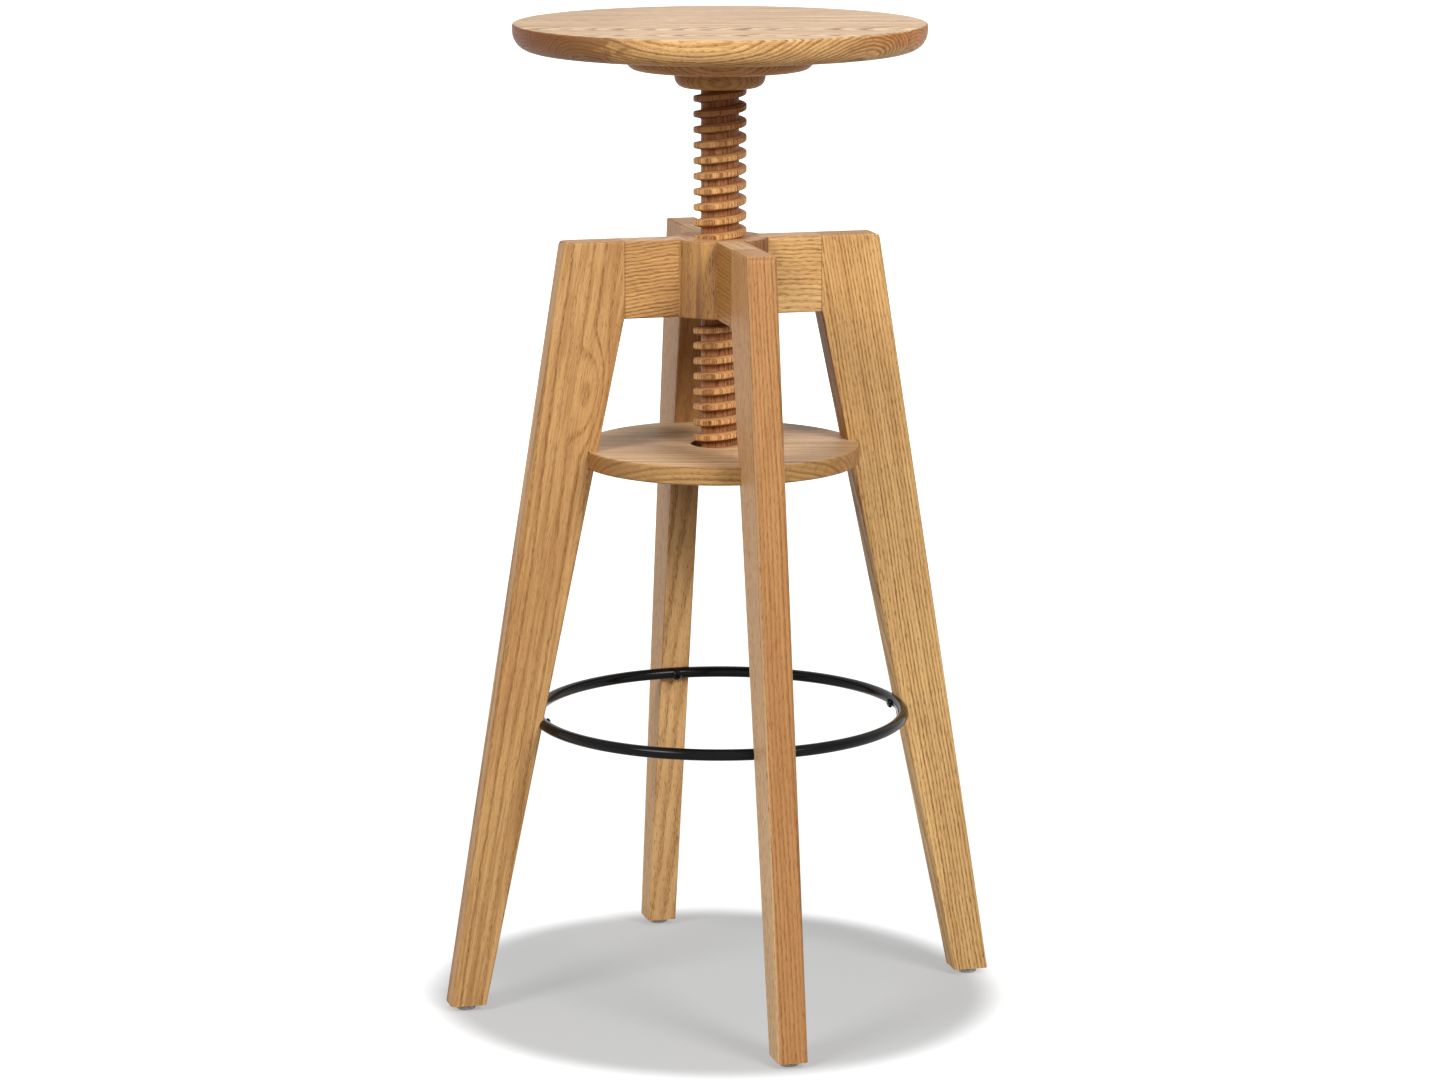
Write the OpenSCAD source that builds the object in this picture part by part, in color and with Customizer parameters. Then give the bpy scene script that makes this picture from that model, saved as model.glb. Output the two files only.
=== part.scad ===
// Bar stool of oak with a round seat on a wooden screw. Millimetres, +Z up.
// The origin is on the floor under the centre, and the legs stand along the X and Y axes.

/* [Seat] */
// Height of the seat's top above the floor, at the setting shown
seat_height = 820; // [720:1:895]
// Diameter of the round seat
seat_d = 340; // [280:1:400]
// Thickness of the seat
seat_t = 22; // [20:0.5:32]
// Rounding of the seat's top edge
seat_top_r = 2; // [0.5:0.1:4]
// Rounding of the seat's lower edge
seat_low_r = 16; // [4:0.5:18]

/* [Seat fixing] */
// Diameter of the disc that backs the seat
disc_d = 154; // [130:1:180]
// Thickness of the backing disc
disc_t = 16; // [11:0.5:20]
// Rounding of the backing disc's lower edge
disc_round = 8; // [1:0.5:10]
// Diameter of the collar round the head of the screw
collar_d = 75; // [64:1:84]
// Thickness of the collar
collar_t = 15; // [10:0.5:20]
// Rounding of the collar's lower edge
collar_round = 9; // [1:0.5:9.5]
// Number of screws from the backing disc into the seat
seat_screws = 6; // [3:1:12]
// Distance of those screws from the centre
seat_screw_at = 54; // [50:0.5:58]
// How deep those screws bite into the seat
seat_screw_bite = 14; // [8:0.5:17]

/* [Wooden screw] */
// Outside diameter of the thread
thread_d = 44; // [40:0.5:47]
// Diameter at the root of the thread
root_d = 31.5; // [29:0.5:35]
// Rise of the thread in one turn
pitch = 12.8; // [11:0.1:16]
// Length of the groove between two ridges, along the screw
groove_w = 5.2; // [3.5:0.1:7]
// How far each flank leans along the screw
flank_lean = 1.1; // [0.5:0.1:1.5]
// Softening of the ridge's two crest edges
crest_soft = 0.9; // [0.4:0.1:1.2]
// Threaded length below the collar
screw_l = 307; // [200:1:340]
// Depth below the hub's top at which the ridge crosses the +X side
crest_drop = 7.2; // [0:0.1:12]
// Diameter of the tenon that runs up through the collar
tenon_d = 26; // [22:0.5:29]
// Diameter of the steel bolt down the middle of the tenon
bolt_d = 10; // [8:0.5:12]
// Length of the bolt's shank
bolt_l = 50; // [40:1:70]

/* [Hub and arms] */
// Height of the arms' and legs' top above the floor
frame_top = 644; // [600:1:655]
// Height of the hub and of the arms
arm_h = 64; // [50:1:72]
// Thickness of the arms and legs
arm_t = 25; // [22:0.5:30]
// Diameter of the hub
hub_d = 80; // [76:1:100]
// Depth of the hub's seat for each arm, from the hub's side
arm_seat = 9; // [7:0.5:10]
// Diameter of the dowels
dowel_d = 8; // [6:0.5:10]
// Length of each dowel's end inside the arm or leg
dowel_bite = 20; // [14:0.5:22]

/* [Legs] */
// Distance from the centre to the joint of arm and leg
leg_joint = 84; // [80:0.5:100]
// Distance from the centre to a leg's outer edge at its top
leg_top_reach = 134; // [124:0.5:150]
// Distance from the centre to a leg's outer edge at the floor
foot_reach = 235; // [200:1:260]
// Width of a leg at the floor
foot_w = 30; // [24:0.5:40]
// Rounding of a leg's outer top corner
corner_r = 6; // [3:0.5:10]
// Rounding of a leg's outer long edges
edge_r = 4; // [1:0.5:6]
// Rounding of the other long edges
ease_r = 1.8; // [0.5:0.1:3]

/* [Shelf] */
// Height of the shelf's top above the floor
shelf_top = 471; // [420:1:480]
// Thickness of the shelf
shelf_t = 15; // [10:0.5:20]
// How deep the shelf is let into the legs
shelf_bite = 7.5; // [5:0.5:12]
// Gap between the screw and the shelf's hole
shelf_gap = 2.3; // [1:0.1:4]
// Rounding of the shelf's edges
shelf_round = 2; // [0.5:0.1:3]

/* [Foot ring] */
// Height of the foot ring's middle above the floor
ring_z = 242; // [200:1:300]
// Diameter of the ring's rod
rod_d = 9.5; // [8:0.1:12]
// How deep the rod is let into the legs
ring_bite = 3.2; // [2:0.1:4]
// Diameter of the ring screws' heads
ring_head_d = 8.4; // [7:0.1:9]
// Length of a ring screw beyond the middle of the rod
ring_screw_l = 26; // [16:1:30]

/* [Glides] */
// Diameter of a glide
glide_d = 16; // [14:0.5:20]
// Height of a glide
glide_h = 5; // [4:0.5:8]
// How deep the glide's nail goes into the leg
nail_bite = 18; // [10:1:25]

/* [Hidden] */
$fn = 72;

// Clearances: a glued or driven fit, a bolt that turns, a loose hole, and the gap between threads
snug = 0.05;
running = 0.08;
loose = 0.3;
thread_gap = 0.4;
past = 1;

// Heights, from the seat down
seat_low = seat_height - seat_t;
disc_low = seat_low - disc_t;
collar_low = disc_low - collar_t;
screw_low = collar_low - screw_l;
hub_low = frame_top - arm_h;

// Centre bolt: the washer lies over the tenon, and the head fills what is left of the disc's bore
head_h = 5;
bolt_head_d = bolt_d + 7;
washer_h = 2;
tenon_top = seat_low - loose - head_h - washer_h - loose;
tenon_bore_r = tenon_d / 2 + snug;
bolt_hole_low = tenon_top - bolt_l;

// Small fasteners
seat_screw_d = 4.5;
seat_screw_head_d = 8.6;
seat_screw_head_h = 2.6;
ring_screw_d = 4;
ring_head_h = 2.6;
ring_flat = 0.3;
ring_seat = ring_flat - rod_d / 2;
nail_d = 2.5;
nail_head_d = 7;
nail_head_h = 1.2;
nail_recess = 1.2;
glide_round = 1.5;
recess_w = 1;
recess_h = 1.4;

// Arms reach from the bottom of the hub's seat to the leg
arm_in = hub_d / 2 - arm_seat;
dowel_hub_bite = 4.5;
dowel_rows = [hub_low + arm_h / 4, hub_low + arm_h * 3 / 4];

// A leg's two edges: the distance from the centre at height z
foot_in = foot_reach - foot_w;
function leg_in(z) = leg_joint + (foot_in - leg_joint) * (hub_low - z) / (hub_low - glide_h);
function leg_out(z) =
  leg_top_reach + (foot_reach - leg_top_reach) * (frame_top - z) / (frame_top - glide_h);
out_lean = atan((foot_reach - leg_top_reach) / (frame_top - glide_h));
in_lean = atan((foot_in - leg_joint) / (hub_low - glide_h));
corner_z = frame_top - corner_r;
corner_x = leg_out(corner_z) - corner_r / cos(out_lean);
corner_end = [corner_x + corner_r * cos(out_lean), corner_z + corner_r * sin(out_lean)];
corner_steps = 8;
fuller = 1.03;
foot_mid = foot_reach - foot_w / 2;

shelf_r = leg_in(shelf_top - shelf_t / 2) + shelf_bite;
ring_r = leg_in(ring_z) - rod_d / 2 + ring_bite;

// One turn of the thread as [height, radius]: the groove, then the ridge with softened edges.
// The ridge's middle lies at ridge_mid.
thread_steps = 30;
ridge_mid = (pitch + groove_w) / 2;
function thread_turn(gap) = let(
    low = groove_w - gap,
    high = pitch + gap,
    root = root_d / 2 + gap,
    crest = thread_d / 2 + gap
  ) [
    [gap, root],
    [low, root],
    [low + flank_lean, crest - crest_soft],
    [low + flank_lean + crest_soft, crest],
    [high - flank_lean - crest_soft, crest],
    [high - flank_lean, crest - crest_soft]
  ];

// Height at which the turn's own zero crosses the +X side, brought to within a turn above zero
thread_zero = (frame_top - crest_drop - ridge_mid) % pitch;

// A threaded rod between two heights. Every column of points climbs with the helix, and the
// points past an end are gathered into one point on that end.
module threaded_rod(low, high, gap) {
  turn = thread_turn(gap);
  per = len(turn);
  base = thread_zero + pitch * (floor((low - thread_zero) / pitch) - 2);
  rows = per * (ceil((high - base) / pitch) + 1);
  merge = 0.3;
  table = concat([for (p = turn) p], [[pitch + turn[0][0], turn[0][1]]]);

  function climb(c) = pitch * c / thread_steps;
  function at_height(c, m) = base + climb(c) + pitch * floor(m / per) + turn[m % per][0];
  function phase(c, z) = let(f = (z - base - climb(c) - turn[0][0]) % pitch)
    turn[0][0] + (f < 0 ? f + pitch : f);
  function radius(c, z) = lookup(phase(c, z), table);
  function on_circle(c, r, z) = let(a = 360 * c / thread_steps) [r * cos(a), r * sin(a), z];

  side = [for (c = [0:thread_steps - 1], m = [0:rows - 1])
    on_circle(c, turn[m % per][1], at_height(c, m))];
  lower = [for (c = [0:thread_steps - 1]) on_circle(c, radius(c, low), low)];
  upper = [for (c = [0:thread_steps - 1]) on_circle(c, radius(c, high), high)];
  first_lower = len(side);
  first_upper = first_lower + thread_steps;
  mid_lower = first_upper + thread_steps;
  mid_upper = mid_lower + 1;

  // Number of a point, or of the end point that takes its place
  function pick(c, m) =
    c == thread_steps ? pick(0, m + per) :
    m >= rows || at_height(c, m) > high - merge ? first_upper + c :
    at_height(c, m) < low + merge ? first_lower + c :
    c * rows + m;
  function whole(f) = f[0] != f[1] && f[1] != f[2] && f[2] != f[0];

  quads = [for (c = [0:thread_steps - 1], m = [0:rows - 1])
    [pick(c, m), pick(c, m + 1), pick(c + 1, m + 1), pick(c + 1, m)]];
  walls = [for (q = quads, f = [[q[0], q[1], q[2]], [q[0], q[2], q[3]]]) if (whole(f)) f];
  floor_faces = [for (c = [0:thread_steps - 1])
    [mid_lower, first_lower + c, first_lower + (c + 1) % thread_steps]];
  roof_faces = [for (c = [0:thread_steps - 1])
    [mid_upper, first_upper + (c + 1) % thread_steps, first_upper + c]];
  polyhedron(
    points = concat(side, lower, upper, [[0, 0, low], [0, 0, high]]),
    faces = concat(walls, floor_faces, roof_faces)
  );
}

// Half the outline of a disc of thickness h whose lower edge is rounded
module disc_outline(r, h, low_r) {
  square([r - low_r, h]);
  translate([0, low_r]) square([r, h - low_r]);
  intersection() {
    translate([r - low_r, low_r]) circle(low_r);
    translate([0, -past]) square([r + past, low_r + past]);
  }
}

// A disc with a rounded lower and a rounded upper edge, from height z
module round_disc(r, z, h, low_r, top_r) {
  translate([0, 0, z]) rotate_extrude() {
    disc_outline(r, h - top_r, low_r);
    translate([0, h - top_r]) square([r - top_r, top_r]);
    translate([r - top_r, h - top_r]) circle(top_r);
  }
}

// Four copies, one at each leg
module each_leg() {
  for (a = [0:90:270]) rotate([0, 0, a]) children();
}

// What a rounding of radius r takes off an edge, for the side s, with the edge at [0, s * half].
// The round is a shade fuller than a true quarter, so that it meets both faces at a slight angle.
module corner_waste(r, half, s) {
  difference() {
    translate([-r, s > 0 ? half - r : -half - past]) square([r + past, r + past]);
    translate([-r, s * (half - r)]) circle(r * fuller);
  }
}

// Rounds the two long edges of a run from a to b, which are [distance, height], to radius r.
// The wood lies on the right of the run, and before and after carry the cut past its ends.
module ease_run(r, a, b, before, after) {
  run = b - a;
  translate([a[0], 0, a[1]]) rotate([0, -atan2(run[1], run[0]), 0])
    for (s = [-1, 1]) translate([-before, 0, 0])
      rotate([0, 90, 0]) linear_extrude(norm(run) + before + after)
        rotate(180) corner_waste(r, arm_t / 2, s);
}

// The outline of a leg, as [distance from the centre, height]
module leg_outline() {
  corner = [for (i = [0:corner_steps]) let(a = 90 - (90 - out_lean) * i / corner_steps)
    [corner_x + corner_r * cos(a), corner_z + corner_r * sin(a)]];
  polygon(concat(
    [[leg_joint, frame_top]],
    corner,
    [[foot_reach, glide_h], [foot_in, glide_h], [leg_joint, hub_low]]
  ));
}

// Where the two rows of dowels lie in a leg's plane
module dowel_places() {
  for (z = dowel_rows) translate([0, 0, z]) rotate([0, 90, 0]) children();
}

// The dowels between hub and arm, and between arm and leg, with a gap all round
module hub_dowel_row(gap) {
  dowel_places() translate([0, 0, arm_in - dowel_hub_bite - gap])
    cylinder(h = dowel_hub_bite + dowel_bite + 2 * gap, d = dowel_d + 2 * gap);
}

module leg_dowel_row(gap) {
  dowel_places() translate([0, 0, leg_joint - dowel_bite - gap])
    cylinder(h = 2 * dowel_bite + 2 * gap, d = dowel_d + 2 * gap);
}

// The foot ring's rod
module ring_rod(gap) {
  translate([0, 0, ring_z]) rotate_extrude() translate([ring_r, 0]) circle(d = rod_d + 2 * gap);
}

// Puts a child at the rod's middle in a leg's plane, with its z axis square to the leg's edge
module at_ring_screw() {
  translate([ring_r, 0, ring_z]) rotate([0, 90 - in_lean, 0]) children();
}

// A cross recess in a screw's head, cut down from z = 0
module cross_recess() {
  for (a = [0, 90]) rotate([0, 0, a])
    translate([-recess_w * 2, -recess_w / 2, -recess_h]) cube([recess_w * 4, recess_w, recess_h + past]);
}

// A ring screw's shank, from the flat under its head
module ring_screw(gap) {
  at_ring_screw() translate([0, 0, ring_seat])
    cylinder(h = ring_screw_l - ring_seat + gap, d = ring_screw_d + 2 * gap);
}

// The flat that the ring screw's head sits on, and the head itself
module ring_head_space() {
  at_ring_screw() translate([0, 0, ring_seat - ring_head_h])
    cylinder(h = ring_head_h, d = ring_head_d + 2 * snug);
}

module ring_head() {
  at_ring_screw() translate([0, 0, ring_seat - ring_head_h]) difference() {
    union() {
      translate([0, 0, ring_head_h / 2]) cylinder(h = ring_head_h / 2, d = ring_head_d);
      cylinder(h = ring_head_h / 2, d1 = ring_head_d * 0.72, d2 = ring_head_d);
    }
    rotate([180, 0, 0]) cross_recess();
  }
}

// The screws from the backing disc into the seat, with their heads in the disc's underside
module seat_screw_places() {
  for (i = [0:seat_screws - 1]) rotate([0, 0, 360 * (i + 0.5) / seat_screws])
    translate([seat_screw_at, 0, disc_low]) children();
}

module seat_screw_body(gap) {
  cylinder(h = seat_screw_head_h, d1 = seat_screw_head_d + 2 * gap, d2 = seat_screw_d + 2 * gap);
  cylinder(h = disc_t + seat_screw_bite + gap, d = seat_screw_d + 2 * gap);
}

// The nail that holds a glide, head down
module nail_body(gap) {
  translate([foot_mid, 0, nail_recess]) {
    cylinder(h = nail_head_h, d = nail_head_d + 2 * gap);
    cylinder(h = glide_h - nail_recess + nail_bite + gap, d = nail_d + 2 * gap);
  }
}

module seat() {
  color("burlywood") difference() {
    round_disc(seat_d / 2, seat_low, seat_t, seat_low_r, seat_top_r);
    seat_screw_places() seat_screw_body(snug);
  }
}

module backing_disc() {
  color("sienna") difference() {
    translate([0, 0, disc_low]) rotate_extrude() disc_outline(disc_d / 2, disc_t, disc_round);
    translate([0, 0, disc_low - past]) cylinder(h = disc_t + 2 * past, r = tenon_bore_r);
    seat_screw_places() seat_screw_body(snug);
  }
}

module collar() {
  color("peru") translate([0, 0, collar_low]) difference() {
    rotate_extrude() disc_outline(collar_d / 2, collar_t, collar_round);
    translate([0, 0, -past]) cylinder(h = collar_t + 2 * past, r = tenon_bore_r);
  }
}

module wooden_screw() {
  color("peru") difference() {
    union() {
      threaded_rod(screw_low, collar_low, 0);
      translate([0, 0, collar_low]) cylinder(h = tenon_top - collar_low, d = tenon_d);
    }
    translate([0, 0, bolt_hole_low])
      cylinder(h = tenon_top - bolt_hole_low + past, d = bolt_d + 2 * running);
  }
}

module centre_bolt() {
  color("silver") translate([0, 0, tenon_top + loose]) {
    translate([0, 0, -bolt_l]) cylinder(h = bolt_l + washer_h, d = bolt_d);
    translate([0, 0, washer_h]) cylinder(h = head_h, d = bolt_head_d);
  }
}

module bolt_washer() {
  color("silver") translate([0, 0, tenon_top + loose]) difference() {
    cylinder(h = washer_h, d = tenon_d - 2 * loose);
    translate([0, 0, -past]) cylinder(h = washer_h + 2 * past, d = bolt_d + 2 * snug);
  }
}

module seat_screws() {
  color("silver") seat_screw_places() difference() {
    seat_screw_body(0);
    rotate([180, 0, 0]) cross_recess();
  }
}

module hub() {
  color("peru") difference() {
    round_disc(hub_d / 2, hub_low, arm_h, ease_r, ease_r);
    threaded_rod(hub_low - past, frame_top + past, thread_gap);
    each_leg() {
      translate([arm_in, -arm_t / 2, hub_low - past]) cube([hub_d, arm_t, arm_h + 2 * past]);
      hub_dowel_row(snug);
    }
  }
}

// The arm along +X
module arm() {
  color("burlywood") difference() {
    translate([arm_in, -arm_t / 2, hub_low]) cube([leg_joint - arm_in, arm_t, arm_h]);
    ease_run(ease_r, [arm_in, frame_top], [leg_joint, frame_top], past, past);
    ease_run(ease_r, [leg_joint, hub_low], [arm_in, hub_low], past, past);
    hub_dowel_row(snug);
    leg_dowel_row(snug);
  }
}

// The leg along +X, with its slot for the shelf and its notch for the ring
module leg() {
  color("burlywood") difference() {
    translate([0, arm_t / 2, 0]) rotate([90, 0, 0]) linear_extrude(arm_t) leg_outline();
    ease_run(ease_r, [leg_joint, frame_top], [corner_x, frame_top], past, corner_r);
    ease_run(edge_r, corner_end, [foot_reach, glide_h], corner_r, past);
    ease_run(ease_r, [foot_in, glide_h], [leg_joint, hub_low], past, 0);
    translate([0, 0, shelf_top - shelf_t]) cylinder(h = shelf_t, r = shelf_r + snug);
    ring_rod(snug);
    ring_screw(snug);
    leg_dowel_row(snug);
    nail_body(snug);
  }
}

module hub_dowels() {
  color("tan") each_leg() hub_dowel_row(0);
}

module leg_dowels() {
  color("tan") each_leg() leg_dowel_row(0);
}

module shelf() {
  color("burlywood") difference() {
    round_disc(shelf_r, shelf_top - shelf_t, shelf_t, shelf_round, shelf_round);
    translate([0, 0, shelf_top - shelf_t - past])
      cylinder(h = shelf_t + 2 * past, d = thread_d + 2 * shelf_gap);
  }
}

module foot_ring() {
  color("black") difference() {
    ring_rod(0);
    each_leg() {
      ring_screw(snug);
      ring_head_space();
    }
  }
}

module ring_screws() {
  color("black") each_leg() {
    ring_screw(0);
    ring_head();
  }
}

// The glide under the leg along +X, hollowed from below for its nail
module glide() {
  color("silver") difference() {
    translate([foot_mid, 0, 0]) round_disc(glide_d / 2, 0, glide_h, glide_round, glide_round / 3);
    nail_body(snug);
    translate([foot_mid, 0, -past]) cylinder(h = nail_recess + past, d = nail_head_d + 2 * snug);
  }
}

module glide_nails() {
  color("silver") each_leg() nail_body(0);
}

seat();
backing_disc();
collar();
wooden_screw();
centre_bolt();
bolt_washer();
seat_screws();
hub();
arm();  // arm_right
rotate([0, 0, 90]) arm();  // arm_back
rotate([0, 0, 180]) arm();  // arm_left
rotate([0, 0, 270]) arm();  // arm_front
leg();  // leg_right
rotate([0, 0, 90]) leg();  // leg_back
rotate([0, 0, 180]) leg();  // leg_left
rotate([0, 0, 270]) leg();  // leg_front
hub_dowels();
leg_dowels();
shelf();
foot_ring();
ring_screws();
glide();  // glide_right
rotate([0, 0, 90]) glide();  // glide_back
rotate([0, 0, 180]) glide();  // glide_left
rotate([0, 0, 270]) glide();  // glide_front
glide_nails();
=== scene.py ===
import math

import bmesh
import bpy
from mathutils import Matrix, Vector


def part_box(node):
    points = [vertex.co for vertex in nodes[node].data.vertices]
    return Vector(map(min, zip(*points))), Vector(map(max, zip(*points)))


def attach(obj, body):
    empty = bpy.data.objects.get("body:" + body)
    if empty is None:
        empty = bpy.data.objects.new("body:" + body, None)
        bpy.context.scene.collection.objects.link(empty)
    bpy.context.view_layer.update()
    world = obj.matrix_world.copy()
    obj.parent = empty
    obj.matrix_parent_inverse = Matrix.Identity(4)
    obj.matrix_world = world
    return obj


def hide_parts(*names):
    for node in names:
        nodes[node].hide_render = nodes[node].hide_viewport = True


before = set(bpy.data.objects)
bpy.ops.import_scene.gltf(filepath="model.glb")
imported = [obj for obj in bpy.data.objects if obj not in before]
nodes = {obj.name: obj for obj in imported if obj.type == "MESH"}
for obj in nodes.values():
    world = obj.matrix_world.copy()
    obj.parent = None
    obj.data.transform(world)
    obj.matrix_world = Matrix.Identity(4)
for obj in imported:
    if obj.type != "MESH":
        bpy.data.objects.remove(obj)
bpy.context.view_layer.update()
print("frame loaded:", len(nodes), "nodes")

# The camera stands 14.6 degrees to the left of the front leg
viewTurn = math.radians(-14.5917)
viewRight = Vector((math.cos(viewTurn), math.sin(viewTurn), 0))
viewAway = Vector((-math.sin(viewTurn), math.cos(viewTurn), 0))
upright = Vector((0, 0, 1))


# Colours are written as they look on screen, 0 to 255
def colour(red, green, blue):
    # Undoes the screen's usual curve
    def straight(value):
        value = value / 255
        return value / 12.92 if value <= 0.04045 else ((value + 0.055) / 1.055) ** 2.4

    return (straight(red), straight(green), straight(blue), 1.0)


# Small helpers that build a material's nodes
def addNode(tree, kind, inputs=None, **settings):
    made = tree.nodes.new(kind)
    for name, value in settings.items():
        setattr(made, name, value)
    for name, value in (inputs or {}).items():
        if isinstance(value, bpy.types.NodeSocket):
            tree.links.new(value, made.inputs[name])
        else:
            made.inputs[name].default_value = value
    return made


def calc(tree, operation, first, second=0.0):
    return addNode(tree, "ShaderNodeMath", {0: first, 1: second}, operation=operation).outputs[0]


def vectorCalc(tree, operation, first, second=(0, 0, 0)):
    made = addNode(tree, "ShaderNodeVectorMath", {0: first, 1: second}, operation=operation)
    return made.outputs["Value" if operation in ("LENGTH", "DOT_PRODUCT") else "Vector"]


def stretch(tree, vector, scale):
    return vectorCalc(tree, "MULTIPLY", vector, scale)


def component(tree, vector, axis):
    return addNode(tree, "ShaderNodeSeparateXYZ", {"Vector": vector}).outputs[axis]


def noise(tree, vector, detail, rough=0.5):
    inputs = {"Vector": vector, "Scale": 1.0, "Detail": detail, "Roughness": rough}
    return addNode(tree, "ShaderNodeTexNoise", inputs).outputs["Fac"]


# Noise drawn out along a board, with its size as spots to the metre across and along
def boardNoise(tree, laid, size, detail, rough=0.5):
    across, along = size
    return noise(tree, stretch(tree, laid, (across, across, along)), detail, rough)


def remap(tree, value, low, high, toLow=0.0, toHigh=1.0):
    inputs = {"Value": value, "From Min": low, "From Max": high, "To Min": toLow, "To Max": toHigh}
    return addNode(tree, "ShaderNodeMapRange", inputs, interpolation_type="SMOOTHSTEP").outputs["Result"]


def mix(tree, share, first, second, blend="MIX"):
    made = addNode(tree, "ShaderNodeMix", data_type="RGBA", blend_type=blend)
    # Sockets 0, 6 and 7 of this node take the share and the two colours, and output 2 gives the mixed one
    for index, value in ((0, share), (6, first), (7, second)):
        if isinstance(value, bpy.types.NodeSocket):
            tree.links.new(value, made.inputs[index])
        else:
            made.inputs[index].default_value = value
    return made.outputs[2]


# Darkens or warms a tone by a tint, where the share says so
def tint(tree, share, tone, tintColour):
    return mix(tree, share, tone, mix(tree, 1.0, tone, colour(*tintColour), "MULTIPLY"))


def newMaterial(name):
    made = bpy.data.materials.new(name)
    made.use_nodes = True
    tree = made.node_tree
    return made, tree, tree.nodes["Principled BSDF"]


# Joins colour and roughness to the shader; numbers that are the same all over go on its own sockets
def finishSurface(tree, surface, tone, rough, numbers):
    tree.links.new(tone, surface.inputs["Base Color"])
    tree.links.new(rough, surface.inputs["Roughness"])
    for name, value in numbers.items():
        surface.inputs[name].default_value = value


def addBump(tree, surface, height, strength, distance):
    bump = addNode(tree, "ShaderNodeBump", {"Height": height, "Strength": strength, "Distance": distance})
    tree.links.new(bump.outputs["Normal"], surface.inputs["Normal"])


# What every oak board has, unless its own look says otherwise
oakDefaults = {
    "light": (218, 174, 114),      # late wood
    "dark": (184, 134, 76),        # early wood
    "pore": (126, 82, 42),         # open pores
    "deep": (172, 120, 70),        # slow patches of deeper colour, and the colour of a dark stretch
    "end": (236, 218, 196),        # tint of the end grain
    "glue": (128, 96, 72),         # tint of a glue line
    "topSheenLight": (230, 196, 158),   # late wood of faces that look up, paled by painted sheen
    "topSheenDark": (192, 148, 106),    # early wood there, under the same painted sheen
    "topDeep": 0.0,                # share of the deeper colour that is left under the painted sheen
    "topPoreLoss": 0.625,          # share of the pores' strength that the painted sheen hides
    "shift": (0.0, 0.0, 0.0),      # moves the pattern, so that no two boards are alike
    "ring": 0.0031,                # width of a year's growth
    "pith": (0.004, -0.055),       # the tree's centre, seen from the board's middle
    "taper": 0.010,                # how fast the rings lean along the board
    "wander": 0.010,               # how far the rings wander
    "bends": (14, 3.0),            # such bends to the metre, across and along
    "wiggle": 0.5,                 # small waves, in rings
    "waves": (90, 24),             # such waves to the metre, across and along
    "line": 0.75,                  # strength of the early wood's line
    "rise": 0.16,                  # share of the year at which that line is full
    "fade": 0.78,                  # share of the year at which it is gone
    "hold": 1 / 3,                 # share of that time at which it starts to fade
    "unlike": 0.6,                 # how much the years differ in strength
    "pores": (1900, 150),          # pores to the metre, across and along
    "poreShare": 0.65,
    "poreCrowding": 0.20,          # how much they crowd in the early wood
    "open": 0.60,                  # lower makes more pores
    "poreEdge": 0.14,              # softness of their edges
    "fibres": (1700, 45),          # fibres to the metre, across and along
    "fibreRange": (0.40, 0.70),    # where in the noise a fibre starts and is full
    "fibre": 0.35,
    "streakSize": (170, 8),        # streaks to the metre, across and along
    "streakRange": (0.42, 0.66),
    "streak": 0.35,
    "patchSize": (20, 2.5),        # patches to the metre, across and along
    "patchRange": (0.42, 0.72),
    "patch": 0.35,
    "faces": (),                   # faces with painted shade or painted sheen
    "rough": 0.50,
    "poreRough": 0.18,             # how much rougher the pores are
    "fibreRough": 0.12,            # how much the fibres change the roughness
    "specular": 0.15,
    "coat": 0.03,
    "coatRough": 0.25,
    "poreDepth": 0.9,
    "fibreHeight": 0.35,
    "bump": (0.2, 0.0003),         # strength and distance
}
facingUp = (0.8, 0.99)             # how far a face is turned up when its painted sheen starts, and when it is full
facingEnd = (0.5, 0.97)            # the same for end grain
facingSide = (0.45, 0.85)          # the same for a face with painted shade or sheen
darkStretchCore = 0.4                    # share of a dark stretch's reach that is dark all through
swirlShape = (1, 0.5, 0.35)        # a swirl reaches further along the board than across
withoutZ = (1, 1, 0)


# A turn that lays a board's length on the pattern's Z and its width on the pattern's X
def boardTurn(length, width):
    along = Vector(length).normalized()
    across = (Vector(width) - along * Vector(width).dot(along)).normalized()
    through = along.cross(across)
    return Matrix((across, through, along)).to_euler("XYZ")


# Shifts the pattern from stave to stave of a glued panel, and marks the glue lines
def staves(tree, laid, panel):
    fromEdge = calc(tree, "ADD", component(tree, laid, "X"), panel["offset"])
    place = calc(tree, "DIVIDE", fromEdge, panel["width"])
    number = calc(tree, "ADD", calc(tree, "FLOOR", place), 1.0)
    jump = addNode(tree, "ShaderNodeVectorMath", {0: panel["jump"], "Scale": number}, operation="SCALE")
    moved = vectorCalc(tree, "ADD", laid, jump.outputs["Vector"])
    fromMiddle = calc(tree, "ABSOLUTE", calc(tree, "SUBTRACT", calc(tree, "FRACT", place), 0.5))
    return moved, remap(tree, fromMiddle, *panel["line"], 0.0, panel["lineShare"])


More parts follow.
